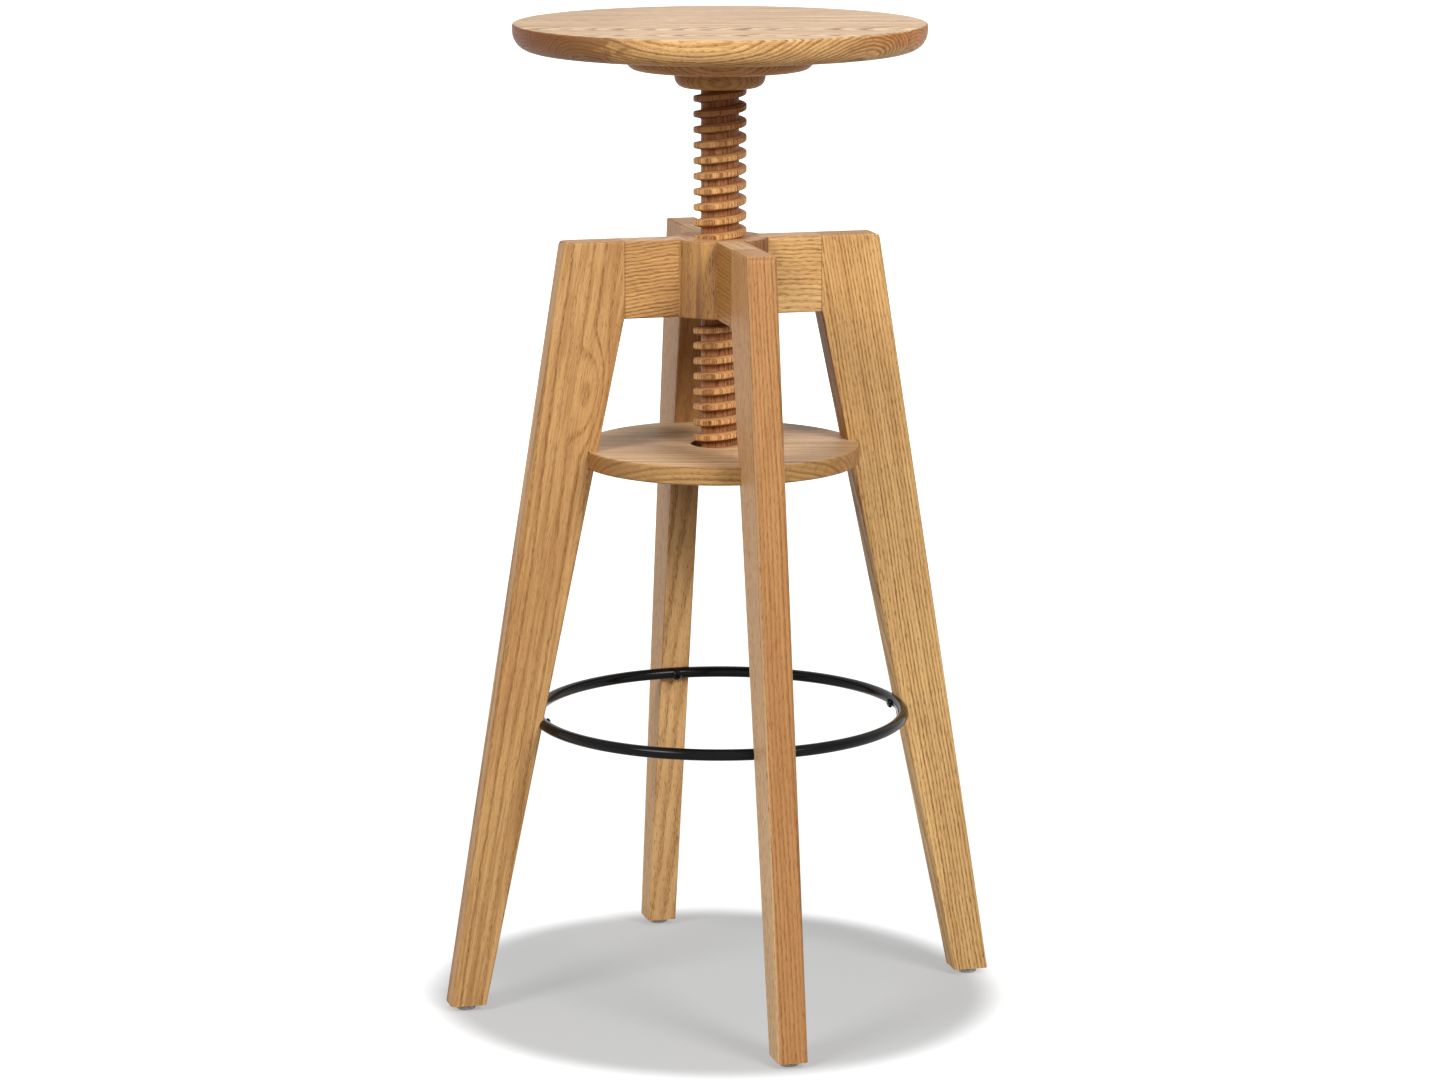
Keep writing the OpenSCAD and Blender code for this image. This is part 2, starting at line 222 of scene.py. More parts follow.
# Distance from the tree's centre, with the rings' lean, bends and small waves
def ringRadius(tree, plain, laid, wood):
    fromPith = vectorCalc(tree, "SUBTRACT", laid, (*wood["pith"], 0.0))
    radius = vectorCalc(tree, "LENGTH", stretch(tree, fromPith, withoutZ))
    lean = calc(tree, "MULTIPLY", component(tree, laid, "Z"), wood["taper"])
    bends = boardNoise(tree, laid, wood["bends"], detail=1.0)
    bends = calc(tree, "MULTIPLY", bends, wood["wander"])
    waves = boardNoise(tree, laid, wood["waves"], detail=2.0)
    waves = calc(tree, "MULTIPLY", waves, wood["ring"] * wood["wiggle"])
    for added in (lean, bends, waves):
        radius = calc(tree, "ADD", radius, added)
    if "swirl" in wood:
        # Rings bend round the spot where a branch grew
        swirl = wood["swirl"]
        fromSpot = vectorCalc(tree, "SUBTRACT", plain, (swirl["across"], 0, swirl["along"]))
        distance = vectorCalc(tree, "LENGTH", stretch(tree, fromSpot, swirlShape))
        radius = calc(tree, "ADD", radius, remap(tree, distance, swirl["size"], 0.0, 0.0, swirl["lift"]))
    return radius


# Early wood rises as the year starts and fades as it goes on, and is stronger in some years
def earlyWood(tree, radius, wood):
    years = calc(tree, "DIVIDE", radius, wood["ring"])
    year = calc(tree, "FRACT", years)
    started = remap(tree, year, 0.0, wood["rise"])
    left = remap(tree, year, wood["fade"], wood["fade"] * wood["hold"])
    draw = addNode(tree, "ShaderNodeTexWhiteNoise", {"W": calc(tree, "FLOOR", years)}, noise_dimensions="1D")
    strength = calc(tree, "MULTIPLY", draw.outputs["Value"], wood["unlike"])
    strength = calc(tree, "ADD", strength, 1.0 - wood["unlike"])
    return calc(tree, "MULTIPLY", calc(tree, "MULTIPLY", started, left), strength)


# How much of the deeper colour shows: slow patches, and a dark stretch frayed along the grain, which is
# darker wood on some boards and painted shade on others
def deepShare(tree, plain, laid, streaks, paintedSheen, wood):
    patches = boardNoise(tree, laid, wood["patchSize"], detail=2.0)
    share = remap(tree, patches, *wood["patchRange"], 0.0, wood["patch"])
    if "heartAndShade" in wood:
        heartAndShade = wood["heartAndShade"]
        fray = calc(tree, "MULTIPLY", calc(tree, "SUBTRACT", streaks, 0.5), heartAndShade["fray"])
        frayed = calc(tree, "ADD", component(tree, plain, "Z"), fray)
        fromDarkStretch = calc(tree, "SUBTRACT", frayed, heartAndShade["at"])
        core = heartAndShade["reach"] * darkStretchCore
        brown = remap(tree, calc(tree, "ABSOLUTE", fromDarkStretch), heartAndShade["reach"], core, 0.0, heartAndShade["share"])
        share = calc(tree, "MAXIMUM", share, brown)
    return calc(tree, "MULTIPLY", share, remap(tree, paintedSheen, 0.0, 1.0, 1.0, wood["topDeep"]))


# Marks the glued joints at both ends of a board
def endJoints(tree, plain, joint):
    start, full = joint["half"] - joint["width"], joint["half"] - joint["dark"]
    fromMiddle = calc(tree, "ABSOLUTE", component(tree, plain, "Z"))
    return remap(tree, fromMiddle, start, full, 0.0, joint["share"])


# Pores are short strokes that crowd in the early wood
def poreStrokes(tree, laid, early, wood):
    crowding = calc(tree, "MULTIPLY", early, wood["poreCrowding"])
    strokes = calc(tree, "ADD", boardNoise(tree, laid, wood["pores"], detail=1.0), crowding)
    return remap(tree, strokes, wood["open"], wood["open"] + wood["poreEdge"])


# Rings, streaks, the deeper colour, painted shade in the thread's groove and fibres, one over the other
def grainTone(tree, spot, plain, laid, early, fibre, paintedSheen, wood):
    streaks = boardNoise(tree, laid, wood["streakSize"], detail=3.0, rough=0.6)
    # Faces that look up take a painted sheen: paler late and early wood
    light = mix(tree, paintedSheen, colour(*wood["light"]), colour(*wood["topSheenLight"]))
    dark = mix(tree, paintedSheen, colour(*wood["dark"]), colour(*wood["topSheenDark"]))
    tone = mix(tree, calc(tree, "MULTIPLY", early, wood["line"]), light, dark)
    tone = mix(tree, remap(tree, streaks, *wood["streakRange"], 0.0, wood["streak"]), tone, dark)
    tone = mix(tree, deepShare(tree, plain, laid, streaks, paintedSheen, wood), tone, colour(*wood["deep"]))
    if "groove" in wood:
        # Painted shade: the groove of the thread is darker than its ridge
        groove = wood["groove"]
        fromAxis = vectorCalc(tree, "LENGTH", stretch(tree, spot.outputs["Object"], withoutZ))
        grooveShadeShare = remap(tree, fromAxis, groove["crest"], groove["root"], 0.0, groove["share"])
        tone = mix(tree, grooveShadeShare, tone, colour(*groove["tone"]))
    return mix(tree, remap(tree, fibre, *wood["fibreRange"], 0.0, wood["fibre"]), tone, dark)


# Painted shade or painted sheen on one face, whose share changes between two places along the board
def addPaintedFaceTone(tree, spot, plain, tone, face):
    facing = vectorCalc(tree, "DOT_PRODUCT", spot.outputs["Normal"], face["towards"])
    reached = remap(tree, component(tree, plain, "Z"), *face["between"], *face["shares"])
    share = calc(tree, "MULTIPLY", remap(tree, facing, *facingSide), reached)
    return mix(tree, share, tone, colour(*face["tone"]))


# Pores are darker, but less so under the painted sheen on faces that look up
def addPoreTone(tree, strokes, paintedSheen, tone, wood):
    left = calc(tree, "SUBTRACT", 1.0, calc(tree, "MULTIPLY", paintedSheen, wood["topPoreLoss"]))
    share = calc(tree, "MULTIPLY", strokes, calc(tree, "MULTIPLY", left, wood["poreShare"]))
    return mix(tree, share, tone, colour(*wood["pore"]))


# Pores are rougher and lie deeper than the wood round them
def finishOak(tree, surface, tone, strokes, fibre, wood):
    rough = calc(tree, "MULTIPLY", strokes, wood["poreRough"])
    rough = calc(tree, "ADD", rough, calc(tree, "MULTIPLY", fibre, wood["fibreRough"]))
    # The fibre noise lies round a half, so half of what it adds comes off again
    rough = calc(tree, "ADD", rough, wood["rough"] - wood["fibreRough"] / 2)
    finishSurface(tree, surface, tone, rough, {
        "Specular IOR Level": wood["specular"],
        "Coat Weight": wood["coat"],
        "Coat Roughness": wood["coatRough"],
    })
    raised = calc(tree, "MULTIPLY", fibre, wood["fibreHeight"])
    sunk = calc(tree, "MULTIPLY", strokes, wood["poreDepth"])
    addBump(tree, surface, calc(tree, "SUBTRACT", raised, sunk), *wood["bump"])


# Oak for one board, laid along its length and width round its centre
def oak(name, length, width, centre, look):
    wood = {**oakDefaults, **look}
    made, tree, surface = newMaterial(name)
    spot = addNode(tree, "ShaderNodeTexCoord")
    turn = boardTurn(length, width)
    mapping = {
        "Vector": spot.outputs["Object"],
        "Rotation": turn,
        "Location": -(turn.to_matrix() @ Vector(centre)),
    }
    plain = addNode(tree, "ShaderNodeMapping", mapping).outputs["Vector"]
    laid = vectorCalc(tree, "ADD", plain, wood["shift"])
    seam = None
    if "staves" in wood:
        laid, seam = staves(tree, laid, wood["staves"])
    if "joint" in wood:
        seam = endJoints(tree, plain, wood["joint"])
    early = earlyWood(tree, ringRadius(tree, plain, laid, wood), wood)
    strokes = poreStrokes(tree, laid, early, wood)
    fibre = boardNoise(tree, laid, wood["fibres"], detail=2.0, rough=0.6)
    # How far a face looks up, which sets its painted sheen
    paintedSheen = remap(tree, component(tree, spot.outputs["Normal"], "Z"), *facingUp)

    tone = grainTone(tree, spot, plain, laid, early, fibre, paintedSheen, wood)
    # Painted shade or painted sheen on single faces
    for face in wood["faces"]:
        tone = addPaintedFaceTone(tree, spot, plain, tone, face)
    tone = addPoreTone(tree, strokes, paintedSheen, tone, wood)
    # End grain drinks more oil
    facing = vectorCalc(tree, "DOT_PRODUCT", spot.outputs["Normal"], Vector(length).normalized())
    tone = tint(tree, remap(tree, calc(tree, "ABSOLUTE", facing), *facingEnd), tone, wood["end"])
    if seam is not None:
        tone = tint(tree, seam, tone, wood["glue"])
    finishOak(tree, surface, tone, strokes, fibre, wood)
    return made


def blackSteel(name, look):
    made, tree, surface = newMaterial(name)
    spot = addNode(tree, "ShaderNodeTexCoord").outputs["Object"]
    peel = noise(tree, stretch(tree, spot, look["peel"]), detail=3.0, rough=0.6)
    worn = noise(tree, stretch(tree, spot, look["wear"]), detail=3.0)
    tone = mix(tree, remap(tree, worn, *look["wearRange"]), colour(*look["coat"]), colour(*look["worn"]))
    rough = remap(tree, worn, *look["roughRange"], *look["rough"])
    finishSurface(tree, surface, tone, rough, {"Specular IOR Level": look["specular"]})
    addBump(tree, surface, peel, *look["bump"])
    return made


def zincSteel(name, look):
    made, tree, surface = newMaterial(name)
    spot = addNode(tree, "ShaderNodeTexCoord").outputs["Object"]
    brushed = noise(tree, stretch(tree, spot, look["brush"]), detail=3.0, rough=0.6)
    tone = mix(tree, remap(tree, brushed, *look["range"]), colour(*look["dull"]), colour(*look["bright"]))
    rough = remap(tree, brushed, *look["range"], *look["rough"])
    finishSurface(tree, surface, tone, rough, {"Metallic": 1.0})
    return made


def greyNylon(name, look):
    made, tree, surface = newMaterial(name)
    spot = addNode(tree, "ShaderNodeTexCoord").outputs["Object"]
    cloud = noise(tree, stretch(tree, spot, look["clouds"]), detail=2.0)
    scuff = noise(tree, stretch(tree, spot, look["scuffs"]), detail=3.0, rough=0.65)
    tone = mix(tree, remap(tree, cloud, *look["cloudRange"]), colour(*look["pale"]), colour(*look["grey"]))
    scuffed = remap(tree, scuff, *look["scuffRange"], 0.0, look["scuffShare"])
    tone = mix(tree, scuffed, tone, colour(*look["scuff"]))
    rough = remap(tree, scuff, *look["roughRange"], *look["rough"])
    finishSurface(tree, surface, tone, rough, {"Transmission Weight": look["clear"]})
    addBump(tree, surface, scuff, *look["bump"])
    return made


# A CAD node that stays gets its material
def dress(name, material):
    piece = nodes[name]
    piece.data.materials.clear()
    piece.data.materials.append(material)


# A piece of this script stands for CAD nodes
def place(piece, body, slot, material, *replaced):
    piece.data.materials.append(material)
    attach(piece, body)
    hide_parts(*replaced)


modelling = {
    "double": 0.000002,             # points nearer than this are one
    "crisp": math.radians(32),      # edges sharper than this stay crisp
    "roundSegments": 8,
}


# Sweeps all of a mesh once round the stool's axis, and up by the rise
def sweepRound(mesh, steps, rise=0.0):
    bmesh.ops.spin(mesh, geom=mesh.verts[:] + mesh.edges[:], cent=(0, 0, 0), axis=upright,
                   dvec=upright * rise / steps, angle=2 * math.pi, steps=steps, use_merge=not rise)


# Merges doubles, turns the faces outwards, and shades smooth but for the crisp edges
def finishPiece(name, mesh):
    bmesh.ops.remove_doubles(mesh, verts=mesh.verts, dist=modelling["double"])
    bmesh.ops.recalc_face_normals(mesh, faces=mesh.faces)
    for face in mesh.faces:
        face.smooth = True
    for edge in mesh.edges:
        edge.smooth = edge.calc_face_angle(0) < modelling["crisp"]
    data = bpy.data.meshes.new(name)
    mesh.to_mesh(data)
    mesh.free()
    made = bpy.data.objects.new(name, data)
    bpy.context.scene.collection.objects.link(made)
    return made


# Corners of one half outline, as radius, height and rounding, turned about the stool's axis
def turned(name, outline, steps, closed):
    mesh = bmesh.new()
    corners = [mesh.verts.new((radius, 0, height)) for radius, height, rounding in outline]
    following = corners[1:] + corners[:1] if closed else corners[1:]
    for first, second in zip(corners, following):
        mesh.edges.new((first, second))
    for corner, (radius, height, rounding) in zip(corners, outline):
        if rounding:
            bmesh.ops.bevel(mesh, geom=[corner], offset=rounding, segments=modelling["roundSegments"],
                            profile=0.5, affect="VERTICES", material=-1)
    sweepRound(mesh, steps)
    return finishPiece(name, mesh)


# Seat
seat = {
    "topRound": 0.002,
    "lowRound": 0.016,
    "steps": 192,
    "centre": (0, 0, 0.808),      # middle of the wood's pattern
    "wood": {
        "light": (234, 187, 124), "dark": (148, 97, 50), "pore": (124, 80, 44), "deep": (116, 75, 42),
        # Its top takes a pale, pinkish painted sheen
        "end": (216, 180, 144), "topSheenLight": (249, 218, 180), "topSheenDark": (140, 94, 58), "topDeep": 0.2,
        "ring": 0.0031, "pith": (-0.125, -0.024), "taper": -0.13, "wander": 0.012, "wiggle": 1.0,
        "patch": 0.2, "heartAndShade": {"at": -0.14, "reach": 0.090, "share": 0.85, "fray": 0.16},
        "staves": {"width": 0.094, "offset": 0.0766, "jump": (-0.058, 0.021, 0.33),
                   "line": (0.4935, 0.4985), "lineShare": 0.5},
    },
}
seatLow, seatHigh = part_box("seat")
seatBoard = turned("turnedSeat", [
    (0, seatHigh.z, 0),
    (seatHigh.x, seatHigh.z, seat["topRound"]),
    (seatHigh.x, seatLow.z, seat["lowRound"]),
    (0, seatLow.z, 0),
], seat["steps"], closed=False)
seatOak = oak("seatOak", viewRight, viewAway, seat["centre"], seat["wood"])
place(seatBoard, "seat", "oak_seat", seatOak, "seat")

# Backing disc under the seat
backingDisc = {
    "centre": (0, 0, 0.789),
    "wood": {
        "light": (214, 158, 106), "dark": (172, 118, 76), "pore": (112, 70, 44), "deep": (164, 110, 70),
        "pith": (0.02, -0.03),
    },
}
discOak = oak("backingDiscOak", viewRight, viewAway, backingDisc["centre"], backingDisc["wood"])
dress("backing_disc", discOak)

# Collar round the head of the screw
collar = {
    "bore": 0.01305,
    "lowRound": 0.009,
    "steps": 96,
    "wood": {
        "light": (196, 144, 86), "dark": (156, 108, 60), "pore": (98, 62, 34), "deep": (144, 98, 54),
        "pith": (0.03, 0.02),
    },
}
collarLow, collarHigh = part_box("collar")
collarRing = turned("turnedCollar", [
    (collar["bore"], collarHigh.z, 0),
    (collarHigh.x, collarHigh.z, 0),
    (collarHigh.x, collarLow.z, collar["lowRound"]),
    (collar["bore"], collarLow.z, 0),
], collar["steps"], closed=True)
collarOak = oak("collarOak", viewRight, viewAway, (0, 0, (collarLow.z + collarHigh.z) / 2), collar["wood"])
place(collarRing, "seat", "oak_brown", collarOak, "collar")

# Shelf
shelf = {
    "bore": 0.0243,
    "round": 0.002,
    "steps": 160,
    "wood": {
        "light": (198, 156, 98), "dark": (158, 116, 68), "pore": (118, 80, 48), "deep": (148, 108, 68),
        "topSheenLight": (228, 194, 152), "topSheenDark": (176, 136, 96),
        "ring": 0.0050, "pith": (-0.12, -0.07), "taper": 0.012, "wander": 0.02, "streak": 0.6,
        "heartAndShade": {"at": -0.13, "reach": 0.10, "share": 0.5, "fray": 0.05},
    },
}
shelfLow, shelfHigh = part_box("shelf")
shelfBoard = turned("turnedShelf", [
    (shelf["bore"], shelfHigh.z, 0),
    (shelfHigh.x, shelfHigh.z, shelf["round"]),
    (shelfHigh.x, shelfLow.z, shelf["round"]),
    (shelf["bore"], shelfLow.z, 0),
], shelf["steps"], closed=True)
shelfOak = oak("shelfOak", viewRight, viewAway, (0, 0, (shelfLow.z + shelfHigh.z) / 2), shelf["wood"])
place(shelfBoard, "frame", "oak_frame", shelfOak, "shelf")
print("seat, collar and shelf turned")

# Wooden screw: one turn's outline is swept up the helix, then cut level and given its tenon and bolt hole
screw = {
    "pitch": 0.0128,
    "zero": 0.0006,               # height at which a turn starts, as on the CAD thread
    "turn": [                     # height above the turn's start, and radius there
        (0.0, 0.01575), (0.0026, 0.01565), (0.0049, 0.01575), (0.0053, 0.01630),
        (0.0062, 0.0208), (0.0065, 0.0214), (0.0072, 0.0219), (0.0090, 0.0220),
        (0.0108, 0.0219), (0.0114, 0.0214), (0.0117, 0.0208), (0.0126, 0.01630),
    ],
    "steps": 72,
    "join": 0.00001,              # points of two turns nearer than this are one
    "near": 0.0001,               # points nearer than this to the height of a cut lie on it
    "tenon": 0.013,               # its radius, as for the hole
    "hole": 0.00508,
    "holeLow": 0.7404,            # height at which the bolt's hole ends
    "centre": (0, 0, 0.6),
    "wood": {
        "light": (231, 179, 115), "dark": (188, 128, 76), "pore": (84, 44, 22), "deep": (150, 96, 52),
        "pith": (0.03, 0.06), "ring": 0.0022, "taper": 0.003, "wander": 0.006, "patch": 0.2,
        "pores": (2400, 60), "poreShare": 0.75, "open": 0.54,
        # Painted shadow of the seat: the screw darkens toward its top
        "heartAndShade": {"at": 0.165, "reach": 0.060, "share": 0.8, "fray": 0.02},
        # Painted shade in the groove of the thread
        "groove": {"tone": (132, 70, 38), "root": 0.0165, "crest": 0.0205, "share": 0.7},
    },
}


# Stacks enough turns of the thread to reach past both ends of the screw
def stackTurns(low, high):
    pitch = screw["pitch"]
    mesh = bmesh.new()
    start = screw["zero"] + (math.floor((low - screw["zero"]) / pitch) - 1) * pitch
    count = math.ceil((high - low) / pitch) + 3
    outline = screw["turn"] + [(pitch, screw["turn"][0][1])]
    points = [mesh.verts.new((radius, 0, start + height)) for height, radius in outline]
    for lower, upper in zip(points, points[1:]):
        mesh.edges.new((lower, upper))
    sweepRound(mesh, screw["steps"], pitch)
    oneTurn = mesh.verts[:] + mesh.edges[:] + mesh.faces[:]
    for number in range(1, count):
        copied = bmesh.ops.duplicate(mesh, geom=oneTurn)["geom"]
        copiedPoints = [item for item in copied if isinstance(item, bmesh.types.BMVert)]
        bmesh.ops.translate(mesh, verts=copiedPoints, vec=upright * number * pitch)
    bmesh.ops.remove_doubles(mesh, verts=mesh.verts, dist=screw["join"])
    return mesh


# Cuts the thread level at one end and gives the edges of the cut
def cutLevel(mesh, height, side):
    bmesh.ops.bisect_plane(mesh, geom=mesh.verts[:] + mesh.edges[:] + mesh.faces[:], dist=screw["join"],
                           plane_co=upright * height, plane_no=upright * side, clear_outer=True)
    return [edge for edge in mesh.edges
            if edge.is_boundary and abs(edge.verts[0].co.z - height) < screw["near"]]


# Grows a rim of edges to a new radius and height
def growRim(mesh, rim, radius, height):
    grown = bmesh.ops.extrude_edge_only(mesh, edges=rim)["geom"]
    for item in grown:
        if isinstance(item, bmesh.types.BMVert):
            flat = Vector((item.co.x, item.co.y, 0)).normalized() * radius
            item.co = flat + upright * height
    return [item for item in grown if isinstance(item, bmesh.types.BMEdge)]


def cutScrew(low, shoulder, top):
    mesh = stackTurns(low, shoulder)
    bmesh.ops.edgeloop_fill(mesh, edges=cutLevel(mesh, low, -1))
    rim = cutLevel(mesh, shoulder, 1)
    for radius, height in ((screw["tenon"], shoulder), (screw["tenon"], top),
                           (screw["hole"], top), (screw["hole"], screw["holeLow"])):
        rim = growRim(mesh, rim, radius, height)
    bmesh.ops.edgeloop_fill(mesh, edges=rim)
    return finishPiece("cutScrew", mesh)


screwLow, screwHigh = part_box("wooden_screw")
screwOak = oak("screwOak", upright, viewRight, screw["centre"], screw["wood"])
place(cutScrew(screwLow.z, collarLow.z, screwHigh.z), "seat", "oak_frame", screwOak, "wooden_screw")
print("wooden screw cut")

# Foot ring, a bent and welded rod, and the screws that hold it
footRing = {
    "rod": 0.00475,
    "around": 24,
    "steps": 192,
    "steel": {
        "coat": (8, 7, 8), "worn": (15, 13, 14),
        "peel": (700, 700, 700), "wear": (26, 26, 26), "wearRange": (0.4, 0.7),
        "rough": (0.12, 0.25), "roughRange": (0.3, 0.7), "specular": 0.13, "bump": (0.12, 0.0002),
    },
    "screwRough": (0.23, 0.36),   # the screws' heads are duller
}
ringLow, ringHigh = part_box("foot_ring")
ringMesh = bmesh.new()
ringCircle = bmesh.ops.create_circle(ringMesh, segments=footRing["around"], radius=footRing["rod"])["verts"]
bmesh.ops.rotate(ringMesh, verts=ringCircle, cent=(0, 0, 0), matrix=Matrix.Rotation(math.pi / 2, 3, "X"))
ringStart = (ringHigh.x - footRing["rod"], 0, (ringLow.z + ringHigh.z) / 2)
bmesh.ops.translate(ringMesh, verts=ringCircle, vec=ringStart)
sweepRound(ringMesh, footRing["steps"])
ringRod = finishPiece("footRingRod", ringMesh)
place(ringRod, "frame", "black_steel", blackSteel("ringSteel", footRing["steel"]), "foot_ring")
screwSteel = blackSteel("ringScrewSteel", {**footRing["steel"], "rough": footRing["screwRough"]})
dress("ring_screws", screwSteel)
print("foot ring bent")

# Hub
hub = {
    "centre": (0, 0, 0.61),
    "wood": {
        # Partly its own darker wood, partly painted shade from the seat
        "light": (196, 150, 90), "dark": (122, 78, 54), "pore": (100, 60, 40), "deep": (122, 78, 56),
        "pith": (0.012, 0.07), "ring": 0.0042, "taper": 0.008, "line": 0.35,
        "streak": 0.9, "streakSize": (70, 4), "patch": 0.6,
    },
}
dress("hub", oak("hubOak", upright, viewRight, hub["centre"], hub["wood"]))

# Arms, glued between hub and legs
arms = {
    "joint": {"width": 0.0012, "dark": 0.0003, "share": 0.55},
    "right": {
        "light": (236, 194, 132), "dark": (184, 134, 76), "shift": (0.10, 0.02, 0.3),
        "wiggle": 1.1, "waves": (70, 50),
    },
    "back": {"light": (200, 158, 106), "shift": (0.05, 0.04, 0.9)},
    "left": {
        "light": (208, 162, 104), "dark": (148, 100, 54), "shift": (0.20, -0.03, 0.5),
        "taper": 0.12, "wiggle": 1.3, "waves": (70, 55),
    },
    # Its darker tone is painted shade from the seat above
    "front": {"light": (171, 124, 66), "dark": (138, 92, 44), "shift": (0.15, 0.01, 0.1)},
}

# Legs, each cut from one board
legs = {
    "reachTop": 0.109,            # how far out the pattern's middle line is at the top
    "reachFoot": 0.220,           # and at the foot
    "right": {
        "light": (240, 196, 132), "dark": (180, 130, 74),
        "pith": (0.09, -0.02), "ring": 0.0030, "taper": 0.004, "wiggle": 0.8, "line": 0.9,
        # Painted shade on its inner face above the shelf
        "faces": [{"towards": (-1, 0, 0), "tone": (150, 106, 54),
                   "between": (-0.153, -0.138), "shares": (0.9, 0.0)}],
    },
    "back": {
        "light": (236, 189, 130), "dark": (188, 137, 82), "deep": (122, 80, 42),
        "pith": (0.07, 0.03), "ring": 0.0036, "taper": 0.006, "wander": 0.005, "line": 0.8, "patch": 0.15,
        # Painted shade: the leg darkens from the shelf up toward the hub
        "heartAndShade": {"at": -0.32, "reach": 0.33, "share": 0.85, "fray": 0.03},
        # Painted shade on the face turned to the left, less toward the foot
        "faces": [{"towards": (-1, 0, 0), "tone": (176, 134, 92),
                   "between": (-0.05, 0.16), "shares": (0.8, 0.1)}],
    },
    "left": {
        "light": (206, 161, 105), "dark": (146, 98, 52),
        "pith": (-0.060, 0.030), "ring": 0.0070, "taper": 0.010, "wander": 0.016, "wiggle": 0.35,
        "line": 0.55, "fade": 0.5, "streak": 0.5, "streakSize": (260, 10),
        "swirl": {"across": -0.016, "along": -0.205, "size": 0.022, "lift": 0.018},
    },
    "front": {
        "light": (194, 143, 91), "dark": (152, 100, 55),
        "pith": (0.05, -0.05), "ring": 0.0030, "taper": 0.006,
        # Painted shade: the leg darkens a little toward its foot
        "heartAndShade": {"at": 0.20, "reach": 0.42, "share": 0.30, "fray": 0.05},
        # Painted sheen on the face turned to the left, stronger toward the foot
        "faces": [{"towards": (-1, 0, 0), "tone": (226, 186, 138),
                   "between": (-0.32, 0.30), "shares": (0.22, 0.9)}],
    },
}

# Nylon glides under the legs
glides = {
    "pale": (234, 230, 222), "grey": (214, 209, 200), "clouds": (120, 120, 120), "cloudRange": (0.35, 0.7),
    "scuff": (180, 178, 172), "scuffs": (600, 600, 90), "scuffRange": (0.55, 0.75), "scuffShare": 0.3,
    "rough": (0.38, 0.55), "roughRange": (0.3, 0.7),
    "clear": 0.6, "bump": (0.15, 0.0002),
}

sides = {"right": (1, 0, 0), "back": (0, 1, 0), "left": (-1, 0, 0), "front": (0, -1, 0)}
for side, direction in sides.items():
    outward = Vector(direction)
    legLow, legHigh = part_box("leg_" + side)
    drop = legHigh.z - legLow.z
    down = outward * (legs["reachFoot"] - legs["reachTop"]) - upright * drop
    legCentre = outward * (legs["reachTop"] + legs["reachFoot"]) / 2 + upright * drop / 2
    dress("leg_" + side, oak(side + "LegOak", down, outward, legCentre, legs[side]))
    armLow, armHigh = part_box("arm_" + side)
    armCentre = (armLow + armHigh) / 2
    armHalf = abs((armHigh - armLow).dot(outward)) / 2
    armWood = {**arms[side], "joint": {**arms["joint"], "half": armHalf}}
    dress("arm_" + side, oak(side + "ArmOak", outward, upright, armCentre, armWood))
    dress("glide_" + side, greyNylon(side + "GlideNylon", glides))
print("oak boards finished")

# Dowels, bolt, washer, screws and nails
dowels = {"centre": (0, 0, 0.6), "wood": {"ring": 0.002, "poreShare": 0.2}}
dowelWood = oak("dowelWood", upright, (1, 0, 0), dowels["centre"], dowels["wood"])
for name in ("hub_dowels", "leg_dowels"):
    dress(name, dowelWood)
fasteners = {
    "dull": (176, 178, 182), "bright": (205, 206, 208),
    "brush": (900, 900, 120), "range": (0.3, 0.7), "rough": (0.30, 0.45),
}
zinc = zincSteel("zincSteel", fasteners)
for name in ("centre_bolt", "bolt_washer", "seat_screws", "glide_nails"):
    dress(name, zinc)
print("metal and nylon finished")

# Floor
studioFloor = {
    "tone": (158, 158, 158),      # as the light finds it
    "seen": (132, 132, 132),      # as the camera sees it, darker, so that the legs' shadows stay faint
    "rough": 0.9,
    "specular": 0.1,
    "half": 30.0,                 # half its side
    "shade": 0.373,               # lower glow under the seat, a painted shadow laid over the real one
    "white": 0.92,                # glow outside the shade
    "edge": (0.210, 0.254),       # where the shade gives way to white
    "centre": (-0.005, 0.001, 0.0),
    "oval": (0.985, 0.94, 1.0),   # draws the round painted shadow out to an oval
    "far": 0.55,                  # more glow where the lamps don't reach
    "farRange": (0.4, 3.0),
}


# 1 where the camera looks, straight, in a reflection or through something clear, and 0 for other light
def seenRays(tree):
    rays = addNode(tree, "ShaderNodeLightPath").outputs
    seen = calc(tree, "MAXIMUM", rays["Is Camera Ray"], rays["Is Glossy Ray"])
    return calc(tree, "MAXIMUM", seen, rays["Is Transmission Ray"])


floorMesh = bmesh.new()
bmesh.ops.create_grid(floorMesh, x_segments=1, y_segments=1, size=studioFloor["half"])
floorData = bpy.data.meshes.new("studioFloor")
floorMesh.to_mesh(floorData)
floorMesh.free()
floor = bpy.data.objects.new("studioFloor", floorData)
bpy.context.scene.collection.objects.link(floor)
paleFloor, floorTree, floorSurface = newMaterial("paleFloor")
floorSeen = seenRays(floorTree)
floorTone = mix(floorTree, floorSeen, colour(*studioFloor["tone"]), colour(*studioFloor["seen"]))
floorTree.links.new(floorTone, floorSurface.inputs["Base Color"])
floorSurface.inputs["Roughness"].default_value = studioFloor["rough"]
floorSurface.inputs["Specular IOR Level"].default_value = studioFloor["specular"]
floorSpot = addNode(floorTree, "ShaderNodeTexCoord").outputs["Object"]
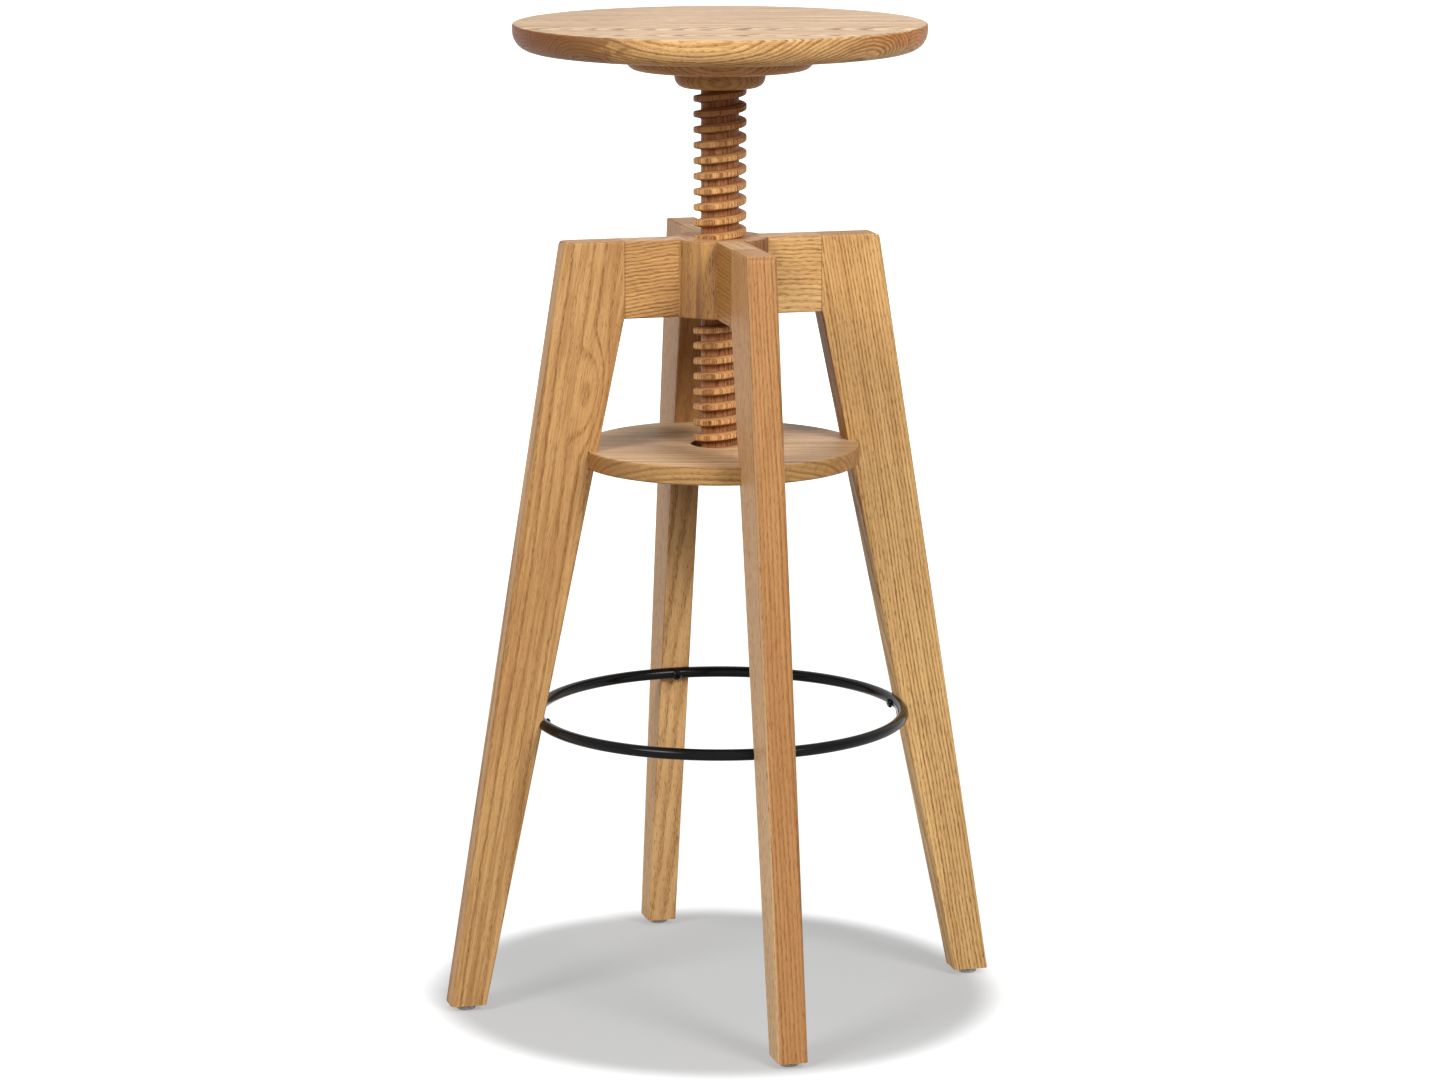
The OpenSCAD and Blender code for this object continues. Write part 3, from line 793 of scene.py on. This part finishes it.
# A lower glow in an oval round the stool paints a shadow over the floor's real one
fromCentre = vectorCalc(floorTree, "SUBTRACT", floorSpot, studioFloor["centre"])
reach = vectorCalc(floorTree, "LENGTH", stretch(floorTree, fromCentre, studioFloor["oval"]))
glow = remap(floorTree, reach, *studioFloor["edge"], studioFloor["shade"], studioFloor["white"])
farGlow = remap(floorTree, reach, *studioFloor["farRange"], 0.0, studioFloor["far"])
glow = calc(floorTree, "MULTIPLY", floorSeen, calc(floorTree, "ADD", glow, farGlow))
floorSurface.inputs["Emission Color"].default_value = (1, 1, 1, 1)
floorTree.links.new(glow, floorSurface.inputs["Emission Strength"])
floorData.materials.append(paleFloor)

# Air: white to look at, and a soft light all round
airLight = 0.20
world = bpy.data.worlds.new("studioAir")
bpy.context.scene.world = world
world.use_nodes = True
air = world.node_tree
backdrop = air.nodes["Background"]
backdrop.inputs["Color"].default_value = (1, 1, 1, 1)
airStrength = calc(air, "ADD", calc(air, "MULTIPLY", seenRays(air), 1.0 - airLight), airLight)
air.links.new(airStrength, backdrop.inputs["Strength"])

# Lamps, with their size in metres
lamps = {
    "overhead": {"spot": (0.0, 0.0, 3.1), "aim": (0, 0, 0), "size": 0.16, "watts": 8.0},
    "left": {"spot": (-2.71, -1.79, 2.53), "aim": (0, 0, 0.5), "size": 1.4, "watts": 91.0},
    "right": {"spot": (1.29, -2.98, 2.53), "aim": (0, 0, 0.5), "size": 1.4, "watts": 106.0},
}
for name, lamp in lamps.items():
    lampData = bpy.data.lights.new(name + "Lamp", "AREA")
    lampData.shape = "DISK"
    lampData.size = lamp["size"]
    lampData.energy = lamp["watts"]
    lampObject = bpy.data.objects.new(name + "Lamp", lampData)
    bpy.context.scene.collection.objects.link(lampObject)
    lampObject.location = lamp["spot"]
    ray = Vector(lamp["aim"]) - Vector(lamp["spot"])
    lampObject.rotation_euler = ray.to_track_quat("-Z", "Y").to_euler()

# Camera
cameraLook = {
    "distance": 3.8557,           # level distance from the stool's axis
    "height": 1.1455,
    "tilt": -11.0996,             # degrees, downwards
    "focal": 4708.4,              # in the photograph's pixels
    "imageWidth": 1440,
    "sensor": 36.0,               # millimetres
}
cameraData = bpy.data.cameras.new("camera")
cameraData.sensor_width = cameraLook["sensor"]
cameraData.lens = cameraLook["focal"] / cameraLook["imageWidth"] * cameraLook["sensor"]
camera = bpy.data.objects.new("camera", cameraData)
bpy.context.scene.collection.objects.link(camera)
camera.location = -viewAway * cameraLook["distance"] + upright * cameraLook["height"]
camera.rotation_euler = (math.radians(90 + cameraLook["tilt"]), 0, viewTurn)
bpy.context.scene.camera = camera
bpy.context.scene.view_settings.view_transform = "Standard"
print("floor, lamps and camera placed")
